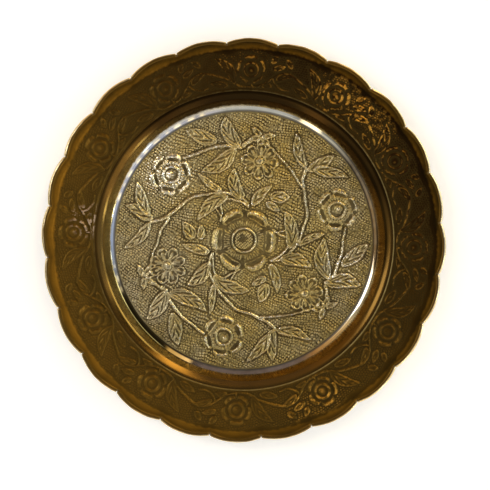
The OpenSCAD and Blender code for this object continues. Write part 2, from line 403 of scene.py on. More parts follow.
# One third of the floor, drawn in millimetres from its middle. Each stem: its line, width,
# share of the width left at its end, and bead spacing or 0. Each leaf: foot, tip, width, bow.
THIRDS = (0, 120, 240)
STEMS = (
    ((3 + 21.3j, -2 + 26.2j, -13 + 29.6j, -25 + 28.3j, -35 + 25j, -43 + 18.5j, -50 + 13.5j, -58 + 11j),
     1.5, 1.4, 0),
    ((-46.5 + 14.5j, -51 + 7j, -54 - 1.5j, -57.5 - 12j, -59.6 - 23.2j), 1.3, 0.9, 0),
    ((-59.6 - 23.2j, -55 - 27.5j, -48.4 - 30.7j), 2.4, 1.0, 1.7),
    ((-48.4 - 31j, -47 - 36j, -44.3 - 40.5j, -36.3 - 49.2j, -25.2 - 57.9j), 2.2, 0.7, 0),
    ((3 + 20.5j, -2 + 23.8j, -7 + 25.6j, -12 + 26j), 1.2, 1.0, 0),
    ((-14.5 + 25j, -14 + 18j, -14.5 + 12j), 1.2, 0.8, 0),
    ((-12.3 + 10.2j, -14 + 14j, -17.3 + 18.9j), 1.0, 0.8, 0),
)
LEAVES = (
    (-58 + 11j, -74.5 - 5j, 6.5, 0.08),
    (-57 + 12.5j, -74 + 22j, 7.5, -0.05),
    (-59 + 15j, -66.5 + 36.5j, 7, 0.04),
    (-49 - 31.5j, -60.5 - 49j, 9.5, 0.10),
    (-47 - 33j, -23.5 - 44j, 9.5, 0.10),
    (-44 - 45j, -41 - 66j, 8.5, 0.0),
    (-1.2 + 25j, -6.5 + 44.5j, 8.5, 0.10),
    (-10 + 27.5j, -28.5 + 12.7j, 8.5, -0.11),
    (-14 + 30.5j, -29 + 42j, 4.5, 0.05),
    (13.5 + 23.4j, 21.7 + 18.2j, 5.0, 0.0),
    (16.4 + 26.3j, 28.8 + 27.3j, 7.5, 0.0),
    (4.4 + 21.7j, 17.5 + 34.3j, 6.0, 0.05),
)
ROSETTE_TURN = 57  # heading of a petal of the large flower in the middle
DAISY = -47.4 - 16j
ROSE = -12.7 - 59.7j
BUD = -61.5 - 22.5j

# One flower's part of the rim, unrolled: along the rim, and outwards, from the flower's middle
RIM_STEMS = (
    ((-31 + 1j, -22 - 2.5j, -13 - 6.5j, -7.5 - 10j, 1 - 10.5j, 8 - 8.5j, 13 - 4.5j, 18 - 0.5j, 24 + 1j),
     1.3, 0.8),
    ((0.5 - 8j, 1 - 10.5j), 1.2, 1.0),
    ((14 - 4j, 16 - 7j, 21 - 9.5j, 26 - 9j), 1.1, 0.8),
)
RIM_REACH = 34  # how far the vine of one flower runs along the rim
RIM_LEAVES = (
    (-10.5 - 9.0j, -21.5 + 8.5j, 6.5, -0.12),
    (-15 - 9.5j, -27 - 6.5j, 4.5, 0.0),
    (12.5 + 1.5j, 20.5 + 4.8j, 3.8, 0.0),
    (24.5 + 4.5j, 20 + 9.5j, 3.6, 0.0),
    (16 - 4.5j, 26.5 + 0j, 4.4, 0.1),
    (12 + 5j, 15 + 10.5j, 3.6, 0.0),
    (7 - 10j, 15 - 9.0j, 3.4, 0.1),
)


def punched_rows(places, pitch):
    """Rows of dashes that lean to the right and sway, uneven as if they were punched by hand."""
    w = turned(places, 24)
    w = w + 2.6j * np.sin(0.085 * w.real + 0.05 * w.imag) + 1.1j * np.sin(0.21 * w.real - 0.13 * w.imag)
    w = w + 0.35 * np.sin(0.9 * w.imag + 0.31 * w.real) + 0.25j * np.sin(0.8 * w.real - 0.23 * w.imag)
    row = w.imag / pitch
    rows = 0.75 * np.cos(TAU * row) + 1.15 * np.cos(TAU * w.real / pitch) * np.cos(math.pi * row)
    uneven = 0.8 + 0.5 * np.sin(1.3 * w.real + 0.9 * w.imag) * np.sin(1.1 * w.imag - 0.7 * w.real)
    uneven += 0.3 * np.sin(0.31 * w.real - 0.4 * w.imag)
    return 0.26 * rows * uneven - 0.02


def punched_dots(places, pitch):
    """Dots in slanting rows, uneven as if they were punched by hand."""
    w = turned(places, 12)
    w = w + 0.35 * np.sin(0.8 * w.imag + 0.3 * w.real) + 0.3j * np.sin(0.7 * w.real - 0.2 * w.imag)
    x, y = w.real / pitch, w.imag / pitch / 1.8
    dots = np.cos(TAU * (x + y)) + np.cos(TAU * (y - x)) + 1.2 * np.cos(TAU * 2 * y)
    uneven = 0.8 + 0.6 * np.sin(0.67 * w.real + 0.3 * w.imag) * np.sin(0.59 * w.imag - 0.21 * w.real)
    return np.clip(0.22 * dots * uneven, -0.4, 0.2)


def rosette_heart(places):
    """The large flower's middle: a dimpled boss, a thin ring, a fluted collar and six parted petals."""
    r, a = abs(places), np.angle(places) - math.radians(ROSETTE_TURN)
    h = 0.75 * ridge(r - 7.3, 0.5) - 0.7 * ridge(r - 6.3, 0.5) - 0.35 * ridge(r - 8.4, 0.5)
    grains = np.cos(TAU * places.real / 1.7) * np.cos(TAU * places.imag / 1.9 + places.real)
    h += smooth(6.0, 5.2, r) * (0.05 + 0.5 * grains)
    h -= 1.1 * ridge(abs(places - (-0.8 + 1.0j)) + 0.5 * np.sin(5 * a), 2.0)
    h += smooth(8.6, 9.8, r) * (0.16 * np.cos(48 * a) * smooth(13.5, 11.5, r) - 0.02)
    side = abs((a * 6 / TAU + 0.5) % 1.0 - 0.5) * TAU * r / 6
    h -= smooth(10.0, 12.0, r) * 0.5 * ridge(TAU * r / 12 - side, 0.5)
    return r - 16.6 - 1.4 * np.cos(6 * a), h


def floor_relief(places, pitch):
    """The floor's relief: three sprays that curl out from a large rose, on a punched ground."""
    relief = Relief(unsteady(places), punched_rows(places, pitch))
    for turn in THIRDS:
        for points, width, end, beads in STEMS:
            relief.lay_stem(points, width, end, beads, turn)
    for turn in THIRDS:
        for foot, tip, width, bow in LEAVES:
            relief.lay_leaf(foot, tip, width, bow, turn)
        for heading in range(-100, 180, 56):
            tip = BUD + turned(8.5, heading)
            relief.lay_leaf(BUD, tip, 3.8, 0, turn, groove=0.3)
        relief.lay(lambda w: petals(w - DAISY, 8, 3.4, 11.8, 0.4, 0.55), DAISY, 14, turn)
        relief.lay(lambda w: fluted(w - DAISY, 1.6, 3.8, 16), DAISY, 8, turn, groove=0)
        relief.lay(lambda w: (abs(w - DAISY) - 2.0, 0.6 - 0.1 * abs(w - DAISY) ** 2), DAISY, 5, turn)
        relief.lay(lambda w: fluted(w - ROSE, 5.4, 9.6, 24), ROSE, 12, turn, groove=0.2)
        for heading in range(20, 380, 60):
            middle = ROSE + turned(10.6, heading)
            relief.lay(lambda w: curled_petal(w, middle, heading - 90, 9.2, 5.2), middle, 9, turn, 0.12)
        relief.lay(lambda w: boss(w - ROSE, 5.8, 5.0), ROSE, 9, turn)
    relief.lay(rosette_heart, 0, 22)
    for heading in range(ROSETTE_TURN, ROSETTE_TURN + 360, 60):
        middle = turned(16.9, heading)
        relief.lay(lambda w: curled_petal(w, middle, heading - 90, 14.2, 6.6, 0.45), middle, 12, groove=0.45)
    relief.lines += worked(places)
    return relief


def rim_relief(places, pitch, mean, count):
    """The rim's relief: a vine with a flower on every second scallop, on a beaded ground."""
    sector = TAU / count
    angle = -np.angle(places)
    out = abs(places) - mean
    whole = Relief(places, punched_dots(-angle * mean + 1j * out, pitch))
    for side in (-1, 0, 1):
        turn = (angle + sector / 2) % sector - sector / 2 + side * sector
        near = abs(turn) * mean < RIM_REACH
        part = Relief(turn[near] * mean + 1j * out[near])
        part.lines, part.body = whole.lines[near], whole.body[near]
        for points, width, end in RIM_STEMS:
            part.lay_stem(points, width, end, groove=0.3)
        for foot, tip, width, bow in RIM_LEAVES:
            part.lay_leaf(foot, tip, width, bow, groove=0.3, vein=1.9)
        part.lay(lambda w: fluted(w, 4.6, 6.8, 18), 0, 9)
        for heading in range(93, 453, 72):
            middle = turned(7.2, heading)
            part.lay(lambda w: curled_petal(w, middle, heading - 90, 8.4, 4.4), middle, 8, groove=0.3)
        part.lay(lambda w: boss(w, 5.2, 4.3, 0.6), 0, 8, groove=0.3)
        whole.lines[near], whole.body[near] = part.lines, part.body
    return whole


# ---------------------------------------------------------------- meshes


def zip_rings(first, n, after, m):
    """Triangles between a ring of n points from index first and the next one, of m points from after."""
    j = np.arange(m)
    apex = np.floor((j + 0.5) * n / m + 0.5).astype(int)
    i = np.arange(n)
    meet = np.searchsorted(apex, i + 1, side="left")
    outer = np.stack([after + j, after + (j + 1) % m, first + apex % n], 1)
    inner = np.stack([first + (i + 1) % n, first + i, after + meet % m], 1)
    return np.concatenate([outer, inner])


def fan(middle, first, count, flip=False):
    """Triangles between a middle point and a ring of count points from index first."""
    j = np.arange(count)
    a, b = first + j, first + (j + 1) % count
    return np.stack([np.full(count, middle), b, a] if flip else [np.full(count, middle), a, b], 1)


def new_mesh(name, points, triangles, slots=None, maps=None, values=None):
    """A smooth mesh in metres from points in millimetres."""
    mesh = bpy.data.meshes.new(name)
    mesh.vertices.add(len(points))
    mesh.vertices.foreach_set("co", (np.asarray(points, np.float32) * MM).ravel())
    mesh.loops.add(triangles.size)
    mesh.loops.foreach_set("vertex_index", triangles.astype(np.int32).ravel())
    mesh.polygons.add(len(triangles))
    mesh.polygons.foreach_set("loop_start", np.arange(0, triangles.size, 3, dtype=np.int32))
    if slots is not None:
        mesh.polygons.foreach_set("material_index", slots.astype(np.int32))
    mesh.update(calc_edges=True)
    mesh.polygons.foreach_set("use_smooth", np.ones(len(triangles), bool))
    for layer, uv in (maps or {}).items():
        mesh.uv_layers.new(name=layer).uv.foreach_set("vector", uv.astype(np.float32).ravel())
    for key, value in (values or {}).items():
        mesh.attributes.new(key, "FLOAT", "POINT").data.foreach_set("value", value.astype(np.float32))
    mesh.validate()
    return mesh


def add_piece(name, mesh, materials, node):
    """Puts a mesh on the tray, in place of a CAD node."""
    piece = bpy.data.objects.new(name, mesh)
    bpy.context.scene.collection.objects.link(piece)
    for material in materials:
        mesh.materials.append(material)
    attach(piece, "root")
    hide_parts(node)


def round_count(radius, step, fold):
    """The points of a ring about one step apart, as a multiple of fold."""
    return fold * max(1, round(TAU * radius / (step * fold)))


FINE_STEP = 0.8  # a mesh with a smaller step needs only half as many points round the plain wall
MESH_RADIUS = 1.14  # where the rim's points are one step apart, as a share of its inner radius


def ring_plan(form, step):
    """The sheet's rings from the middle to its edge: radius, height, slope, share of the rim, points."""
    fold = form.sizes.scallops
    outer = round_count(form.rim_in * MESH_RADIUS, step, 2 * fold)
    rings = [(r, form.floor_top, 0.0, 0.0, min(round_count(r, step, 6), outer))
             for r in np.linspace(0, form.floor_r, round(form.floor_r / step) + 1)[1:-1]]
    # The steps along the cove are a little longer than those on the floor
    wall_steps = max(6, round(0.7 * form.cove * form.slope / step))
    wall_count = outer // 2 if step < FINE_STEP else outer
    rings += [(r, z, a, 0.0, wall_count) for r, z, a in form.wall(wall_steps)]
    across = round((form.arc_middle + form.sheet_end - form.rim_in) / step)
    rings += [(form.rim_in, form.rim_top, 0.0, t, outer) for t in np.linspace(0, 1, across + 1)[1:]]
    return rings


def sheet_rings(form, step):
    """The rings of one face of the sheet: radius, height, slope, angle, and the way from the middle."""
    run, before = 0.0, (0.0, form.floor_top)
    out = []
    for r, z, slope, share, count in ring_plan(form, step):
        angle = np.arange(count) / count * TAU
        if share:
            radius = r + share * (form.scalloped(angle, form.sheet_end) - r)
            away = run + radius - r
        else:
            run += math.hypot(r - before[0], z - before[1])
            before = (r, z)
            radius = np.full(count, r)
            away = np.full(count, run)
        out.append((radius, np.full(count, z), slope, angle, away))
    return out


def ring_places(rings):
    """Where the rings' points lie, seen from above."""
    return [radius * np.exp(1j * angle) for radius, _, _, angle, _ in rings]


class Sheet:
    """The rings of the pressed sheet, joined one to the next: up one face to the edge, and back below."""

    def __init__(self):
        self.points, self.angles, self.runs, self.faces = [], [], [], []
        self.count = 0
        self.last = (0, 0)

    def add(self, radius, z, angle, run):
        """Adds a ring of points, or the one point of a middle."""
        n = len(angle)
        self.points.append(np.stack([radius * np.cos(angle), radius * np.sin(angle), z], 1))
        self.angles.append(angle)
        self.runs.append(run)
        first, m = self.last
        if n == 1 and m:
            self.faces.append(fan(self.count, first, m, flip=True))
        elif m == 1:
            self.faces.append(fan(first, self.count, n))
        elif m:
            self.faces.append(zip_rings(first, m, self.count, n))
        self.last = (self.count, n)
        self.count += n

    def add_middle(self, z):
        self.add(np.zeros(1), np.array([z]), np.zeros(1), np.zeros(1))


def sheet_relief(places, form, look):
    """Fine lines, height, how plain the border is and how far the edge is, at places on the sheet."""
    pitch, border = mm(look.bead_pitch), mm(look.border)
    r = abs(places)
    lines, body, plain = np.zeros((3, len(r)))
    floor = r < form.floor_r + 0.5
    made = floor_relief(turned(places[floor], -math.degrees(look.floor_turn)), pitch)
    fade = smooth(form.floor_r - 0.2, form.floor_r - 1.2, r[floor]) * look.floor_height
    lines[floor] = made.lines * fade
    body[floor] = made.body * fade
    rim = r > form.rim_in
    edge = form.scalloped(np.angle(places[rim]), form.arc - border)
    made = rim_relief(places[rim], pitch, (form.rim_in + form.tip - border) / 2, form.sizes.scallops // 2)
    inside = smooth(0.1, 0.9, edge - r[rim]) * smooth(form.rim_in + 1.1, form.rim_in + 1.9, r[rim])
    line = 0.55 * ridge(r[rim] - form.rim_in - 0.6, 0.3) + 0.1 * ridge(r[rim] - edge, 0.6)
    lines[rim] = made.lines * inside + line
    body[rim] = made.body * inside * look.rim_height
    plain[rim] = smooth(-1.2, 2.2, r[rim] - edge)
    height = lines * np.where(rim, look.rim_height, 1.0) + body
    return lines, height, plain, form.scalloped(np.angle(places), form.sheet_end) - r


# The bake map shows each face of the sheet as a disc: the embossed side large, the underside small
BAKE_MAP = "OFBake"
TOP_MIDDLE, TOP_RADIUS = (0.405, 0.405), 0.395
UNDER_MIDDLE, UNDER_RADIUS = (0.825, 0.825), 0.165


def bake_map(triangles, under, angles, runs, edge_first, edge_run):
    """The place of each corner on the bake map. The sheet's cut edge is the large disc's border."""
    corners = triangles.ravel()
    below = np.repeat(under, 3)
    top_runs = runs.copy()
    top_runs[edge_first:] = edge_run
    large = top_runs[corners] / edge_run * TOP_RADIUS
    small = runs[corners] / edge_run * UNDER_RADIUS
    radius = np.where(below, small, large)
    side = np.where(below, -radius, radius)
    middle = np.where(below[:, None], UNDER_MIDDLE, TOP_MIDDLE)
    return middle + np.stack([radius * np.cos(angles[corners]), side * np.sin(angles[corners])], 1)


def pressed_sheet(form, look):
    """The whole sheet as one closed mesh, with the relief pressed into it."""
    sheet = Sheet()
    top = sheet_rings(form, mm(look.step))
    lines, height, plain, edge = sheet_relief(np.concatenate([[0], *ring_places(top)]), form, look)
    height = kept_whole(height, form.sheet)
    sheet.add_middle(form.floor_top + height[0])
    at = 1
    for radius, z, slope, angle, run in top:
        sheet.add(radius, z + height[at:at + len(radius)], angle, run)
        at += len(radius)
    # The strip over the cut edge counts as part of the embossed side
    edge_run = sheet.runs[-1][0] + form.sheet
    edge_first, top_faces = sheet.count, len(sheet.faces) + 1

    # The underside follows the plump bodies of the motifs, and little of their fine lines
    low = sheet_rings(form, mm(look.under_step))[::-1]
    low_places = np.concatenate([*ring_places(low), [0]])
    low_lines, low_height, low_plain, low_edge = sheet_relief(low_places, form, look)
    hollow = 0.8 * np.clip(low_height - 0.6 * low_lines, 0, 0.3)
    at = 0
    for radius, z, slope, angle, run in low:
        lower = z - form.sheet * math.cos(slope) + hollow[at:at + len(radius)] * (slope == 0)
        sheet.add(radius + form.sheet * math.sin(slope), lower, angle, run)
        at += len(radius)
    sheet.add_middle(form.floor_top - form.sheet + hollow[-1])

    triangles = np.concatenate(sheet.faces)
    under = np.arange(len(triangles)) >= sum(len(faces) for faces in sheet.faces[:top_faces])
    angles, runs = np.concatenate(sheet.angles), np.concatenate(sheet.runs)
    maps = {BAKE_MAP: bake_map(triangles, under, angles, runs, edge_first, edge_run)}
    values = {
        "relief": np.concatenate([lines, low_lines]),
        "border": np.concatenate([plain, low_plain]),
        "edge": np.concatenate([edge, low_edge]),
    }
    return new_mesh("pressed_sheet", np.concatenate(sheet.points), triangles, under * 1, maps, values)


def strips(first, across, along):
    """The triangles of a closed section of that many points, swept in that many steps."""
    i = np.arange(across)
    j = (i + 1) % across
    faces = []
    for step in range(along - 1):
        a, b = first + step * across, first + (step + 1) * across
        faces += [np.stack([a + i, b + i, b + j], 1), np.stack([a + i, b + j, a + j], 1)]
    return faces


def cap(end, across, flip):
    """The triangles that close one end of the lip's C, between its outer and its inner line."""
    i = np.arange(across // 2 - 1)
    quad = [end + i, end + i + 1, end + across - 2 - i, end + across - 1 - i]
    if flip:
        quad = quad[::-1]
    return [np.stack([quad[0], quad[1], quad[2]], 1), np.stack([quad[0], quad[2], quad[3]], 1)]


LIP_POINTS, LIP_STEPS = 30, 33
LIP_TAPER = 0.05  # how much thinner the lip is at the ends of its scallop


def rolled_lip(form):
    """The lip of each scallop: the sheet rolled round the wire, a C in section, swept along its arc."""
    sizes = form.sizes
    pitch = TAU / sizes.scallops
    cusp = form.scalloped(pitch / 2, form.lip_path)
    wire_turn = math.atan2(cusp * math.sin(pitch / 2), cusp * math.cos(pitch / 2) - form.arc_middle)
    back = form.lip_out * math.tan(wire_turn - pitch / 2) + mm(sizes.nick) / 2
    turn = wire_turn - math.atan(back / form.lip_path)
    curl = np.exp(1j * np.linspace(sizes.curl_start, sizes.curl_start + sizes.curl_gap - TAU, LIP_POINTS))
    section = np.concatenate([form.lip_out * curl, form.lip_in * curl[::-1]])
    across = len(section)
    points, faces = [], []
    for k in range(sizes.scallops):
        first = k * across * LIP_STEPS
        for s in np.linspace(-turn, turn, LIP_STEPS):
            swell = 1 - LIP_TAPER * (abs(s) / turn) ** 8
            away = form.lip_path + section.real * swell
            place = turned(form.arc_middle + away * np.exp(1j * s), math.degrees(pitch * k))
            points.append(np.stack([place.real, place.imag, form.lip_z + section.imag * swell], 1))
        faces += strips(first, across, LIP_STEPS)
        faces += cap(first, across, False) + cap(first + (LIP_STEPS - 1) * across, across, True)
    outward = np.tile(np.cos(np.angle(section)), LIP_STEPS * sizes.scallops)
    return new_mesh("rolled_lip", np.concatenate(points), np.concatenate(faces), values={"outward": outward})


# ---------------------------------------------------------------- materials


class Value:
    """A shader socket that Python's own signs work on."""

    def __init__(self, nodes, socket):
        self.nodes, self.socket = nodes, socket

    def math(self, operation, *values):
        return self.nodes.node("Math", {"operation": operation}, dict(enumerate(values)))

    def __add__(self, other):
        return self.math("ADD", self, other)

    def __sub__(self, other):
        return self.math("SUBTRACT", self, other)

    def __rsub__(self, other):
        return self.math("SUBTRACT", other, self)

    def __mul__(self, other):
        return self.math("MULTIPLY", self, other)

    def __truediv__(self, other):
        return self.math("DIVIDE", self, other)

    def __pow__(self, other):
        return self.math("POWER", self, other)

    __radd__ = __add__
    __rmul__ = __mul__

    def sine(self):
        return self.math("SINE", self)

    def size(self):
        """This value without its sign."""
        return self.math("ABSOLUTE", self)

    def within(self, low, high, start=0.0, end=1.0):
        """Goes smoothly from start to end as this value goes from low to high."""
        return self.nodes.node("MapRange", {"interpolation_type": "SMOOTHSTEP", "clamp": True},
                               {0: self, 1: low, 2: high, 3: start, 4: end})


class Nodes:
    """The nodes of one material or world."""

    def __init__(self, owner):
        owner.use_nodes = True
        self.tree = owner.node_tree
        self.tree.nodes.clear()

    def node(self, kind, settings=None, sockets=None, output=0):
        """Adds a node with its settings, then gives its sockets their values or links."""
        made = self.tree.nodes.new("ShaderNode" + kind)
        for key, value in (settings or {}).items():
            setattr(made, key, value)
        for key, value in (sockets or {}).items():
            if isinstance(value, Value):
                self.tree.links.new(value.socket, made.inputs[key])
            elif made.inputs[key].type == "RGBA" and len(value) == 3:
                made.inputs[key].default_value = (*value, 1)
            else:
                made.inputs[key].default_value = value
        return Value(self, made.outputs[output]) if made.outputs else made

    def mix(self, share, a, b, blend="MIX"):
        """A colour between a and b."""
        return self.node("Mix", {"data_type": "RGBA", "blend_type": blend}, {0: share, 6: a, 7: b}, 2)

    def layers(self, base, *layers):
        """Lays colours over a base one after the other, each with its share."""
        for share, tint in layers:
            base = self.mix(share, base, tint)
        return base

    def attribute(self, name):
        return self.node("Attribute", {"attribute_name": name}, output=2)

    def place(self, scale):
        """Places on the object, with scale to the metre."""
        spot = self.node("TexCoord", output=3)
        return self.node("VectorMath", {"operation": "SCALE"}, {0: spot, 3: scale})

    def parts(self, vector):
        """The three parts of a vector."""
        outputs = self.node("SeparateXYZ", {}, {0: vector}).socket.node.outputs
        return [Value(self, socket) for socket in outputs]

    def noise(self, place, scale, detail=2.0, rough=0.5):
        sockets = {"Vector": place, "Scale": scale, "Detail": detail, "Roughness": rough}
        return self.node("TexNoise", {}, sockets)

    def finish(self, kind, **sockets):
        """The output, fed by a shader of that kind."""
        named = {key.replace("_", " "): value for key, value in sockets.items()}
        shader = self.node(kind, {}, named)
        self.node("Output" + ("World" if kind == "Background" else "Material"), {}, {"Surface": shader})

    def bump(self, height, strength, distance):
        return self.node("Bump", {}, {"Height": height, "Strength": strength, "Distance": distance})


def new_material(name):
    material = bpy.data.materials.new(name)
    return material, Nodes(material)


# Spots of the embossed side that look different, as places in millimetres from its middle: the bright flower
# and branch take painted highlights
BRIGHT_FLOWER = -51 + 39j
BRIGHT_BRANCH = 62 - 14j
WARM_SPOT = 5 + 45j
COLD_SPOT = -58 - 25j
PALE_SPOT = -97 + 8j


class Embossed:
    """Where each spot of the embossed side lies, how worn it is and where light and shade are painted on it.

    Seen from above, left and up go from -1 to 1 round the tray, and so do the two directions on the
    right. floor, cove, wall and rim are 1 on their own zone and 0 elsewhere.
    """

    def __init__(self, n, form):
        self.form = form
        self.place = n.place(1 / MM)
        self.x, self.y, _ = n.parts(self.place)
        self.r = (self.x * self.x + self.y * self.y) ** 0.5
        self.left, self.up = self.x * -1 / self.r, self.y / self.r
        self.upper_right = self.up * 0.78 - self.left * 0.63
        self.lower_right = (self.x * 0.45 - self.y * 0.89) / self.r
        self.relief, self.border, self.edge = [n.attribute(name) for name in ("relief", "border", "edge")]
        self.patch = n.noise(self.place, 0.35, 3.0)
        self.grain = n.noise(self.place, 2.2, 2.0, 0.6)
        self.uneven = (self.grain - 0.5) * 0.3 + (self.patch - 0.5) * 0.3
        self.set_zones()
        self.set_wear_and_painted_light(n)

    def set_zones(self):
        form = self.form
        self.floor = self.r.within(form.floor_r + 0.6, form.floor_r - 0.2)
        ragged = self.r + (self.patch - 0.5) * 1.5 + self.left.within(0.7, 1.0) * 1.3
        self.cove = ragged.within(form.cove_out + 0.6, form.cove_out - 0.6) * (1 - self.floor)
        self.rim = self.r.within(form.rim_in - 0.6, form.rim_in + 0.4)
        self.wall = (1 - self.floor) * (1 - self.rim)

    def set_wear_and_painted_light(self, n):
        """Sets how far a spot is a hollow, or a ridge rubbed bright, where the rim's flowers take painted
        golden glints and where the floor takes painted highlights and sparkle.
        """
        out = self.r - self.form.rim_in
        upper = (self.x * 0.61 + self.y * 0.79) / self.r
        # Painted golden glints on the rim's flowers at the upper right, the lower right and the top.
        golden = upper.within(0.93, 0.99) * out.within(6, 11, 0.25)
        golden = golden + self.lower_right.within(0.96, 0.995) * out.within(6, 14) * 0.8
        self.golden = golden + self.up.within(0.95, 0.995) * out.within(10, 16) * 0.45
        # Painted highlights: the floor brighter round one flower and one branch.
        bright = self.away(BRIGHT_FLOWER).within(26, 9) + self.away(BRIGHT_BRANCH).within(18, 7) * 0.6
        self.bright = bright * self.floor
        pressed = (1 - self.wall) * (1 - self.border)
        # Hollows brown: partly tarnish, partly painted shade.
        self.recess = (self.relief + self.uneven).within(0.08, -0.16) * pressed
        rub = self.relief + self.uneven + self.bright * 0.35 + self.golden * 0.35
        self.rub = rub.within(0.25 - self.golden * 0.15, 0.65 + self.golden * 0.2) * pressed
        # Painted sparkle: flecks on the floor's rubbed ridges, more in the bright patches.
        fleck = n.noise(self.place, 0.8, 1.0) + self.bright * 0.12
        self.fleck = fleck.within(0.62, 0.70) * self.rub * self.floor

    def away(self, spot):
        """The distance from a spot, seen from above."""
        return ((self.x - spot.real) ** 2 + (self.y - spot.imag) ** 2) ** 0.5


def bronze_finish(n, at, finish):
    """Bronze with painted shade at the upper right, the floor's brass, and a wall painted lighter at its foot
    and darker on its shaded side.
    """
    left, up, form = at.left, at.up, at.form
    high = at.r.within(form.shoulder_in - 0.5, form.shoulder_in + 1.5)
    # Painted shade on the wall, by its heading round the tray and its height.
    dark = (up * 0.97 - left * 0.26 + high * 0.15).within(0.42, 0.80) * (0.75 + high * 0.17)
    dark = dark + (up * -0.42 - left * 0.91).within(0.7, 0.95) * (0.1 + high * 0.15)
    # Painted light: the wall's foot lighter, most on the left and below.
    lit = n.mix(left.within(-0.4, 0.7), finish.worn_and_lit_bronze, finish.floor_brass)
    # Painted shade: the rim darker towards the upper right.
    bronze = n.mix(at.upper_right.within(-0.6, 1.0), finish.rim_bronze, finish.painted_shade_bronze)
    return n.layers(
        bronze,
        (at.floor, finish.floor_brass),
        (at.wall, finish.wall_bronze),
        (at.wall * (1 - high) * (0.52 + left * 0.10 - up * 0.16), lit),
        (at.wall * dark, finish.painted_shade_bronze),
        # The rim darker towards its inner edge.
        (at.rim * at.r.within(form.rim_in + 14, form.rim_in + 1) * 0.4, finish.tarnish_and_shade_brown))


def cove_finish(n, at, finish, base):
    """Silver in the cove, with painted reflection and shade: bluer on the left, dull below and on the right,
    brown at the lower left.
    """
    left, up = at.left, at.up
    dull = (up * -0.97 + left * 0.25).within(0.30, 0.75) + (left * -1 + up * 0.3).within(0.80, 1.0) * 0.9
    # Painted reflection: the cove bluer on the left.
    silver = n.mix((left * 0.95 + up * 0.3).within(0.5, 0.9), finish.cove_silver, finish.cove_blue_reflection)
    # This tarnish is painted shade: the cove dull below and on the right.
    tarnish = n.mix(up.within(-0.75, -0.95), base, finish.cove_painted_shade)
    silver = n.mix(dull * (0.7 + at.patch * 0.4), silver, tarnish)
    # Painted shade: the cove brown at its lower left.
    brown = (left * 0.7 - up * 0.71).within(0.85, 0.97) * 0.85
    return n.layers(base, (at.cove, silver), (at.cove * brown, finish.tarnish_and_shade_brown))


def border_finish(n, at, finish, base):
    """Orange on the plain border, brown beside the lip with painted shade deepest at the upper right, and
    clouds of tarnish over the whole side.
    """
    tip, lean = at.form.tip, at.left * 1.2
    band = (at.r + (at.patch - 0.5) * 2.0).within(tip - 7.7 - lean, tip - 6 - lean)
    band = band * at.r.within(tip - 2.4, tip - 4)
    gold = 0.45 + at.patch * 0.8 - at.upper_right * 0.25 + at.lower_right.within(0.5, 0.9) * 0.2
    cloud = n.noise(at.place, 0.05, 3.0)
    return n.layers(
        base,
        (band * gold, finish.border_gold),
        # Brown beside the lip: dirt, with painted shade that deepens towards the upper right.
        (at.edge.within(3.0, 1.2) * (0.5 + at.upper_right * 0.12), finish.tarnish_and_shade_brown),
        (cloud.within(0.40, 0.75) * 0.35, finish.tarnish_and_shade_brown))


def floor_finish(n, at, finish, base):
    """Soft clouds of warmer and greyer brass on the floor, with painted shade at the lower left and the right
    and a painted highlight at the upper left.
    """
    left, up, floor = at.left, at.up, at.floor
    out = at.r / at.form.floor_r
    lower_left = (left * 0.6 - up * 0.8).within(0.0, 1.0) * out.within(0.125, 0.75)
    upper_left = (left * 0.7 + up * 0.7).within(0.2, 1.0) * out.within(0.19, 0.81)
    right = left.within(-0.3, -1.0) * out.within(0.375, 0.875)
    cloud = n.noise(at.place, 0.07, 2.0)
    warm = cloud.within(0.50, 0.68) * 0.4 + at.away(WARM_SPOT).within(50, 15) * 0.4
    cold = cloud.within(0.50, 0.34) * 0.4 + at.away(COLD_SPOT).within(45, 15) * 0.5
    return n.layers(
        base,
        # Painted shade at the lower left and the right, painted light at the upper left.
        (floor * lower_left * 0.26, finish.tarnish_and_shade_brown),
        (floor * upper_left * 0.16, finish.worn_and_lit_brass),
        (floor * right * 0.16, finish.tarnish_and_shade_brown),
        (floor * warm, finish.warm_brass),
        (floor * cold, finish.cold_brass))


def relief_finish(n, at, finish, base):
    """Tarnish and painted shade in the hollows, rubbed ridges with painted highlights and sparkle, painted
    golden glints on the rim, and a painted highlight on the fine line round the rim.
    """
    worn = n.noise(at.place, 0.13, 3.0).within(0.38, 0.62)
    patchy = at.patch.within(0.42, 0.58)
    hollow = 0.92 - worn * at.floor * 0.2 - at.rim * (0.30 - at.golden * 0.2 + at.left * 0.25 - at.up * 0.05)
    # Rubbed wear, with painted highlights where the floor is bright.
    rubbed = 0.16 + worn * 0.42 + patchy * 0.27 + at.bright * 0.4
    speckled = (at.relief + at.uneven * 3.0).within(0.1, 0.4) * at.patch.within(0.40, 0.60) * 0.55
    # Painted highlight along the fine ridge round the rim, stronger at the right and below.
    line = (at.r - (at.form.rim_in + 0.2)).size().within(0.45, 0.2)
    return n.layers(
        base,
        (at.recess * hollow, finish.tarnish_and_shade_brown),
        (at.rub * at.floor * rubbed, finish.worn_and_lit_brass),
        (at.fleck, finish.painted_sparkle),
        # Rubbed wear on the rim's ridges, mostly painted golden glints where the flowers are golden.
        (at.rub * at.rim * patchy * (0.16 + at.golden * 0.84 - at.left * 0.1), finish.worn_and_lit_bronze),
        (at.away(PALE_SPOT).within(13, 5) * at.rim * speckled, finish.pale_wear),
        (line * (at.patch * 0.5 - at.left * 0.2 - at.up * 0.15), finish.floor_brass))


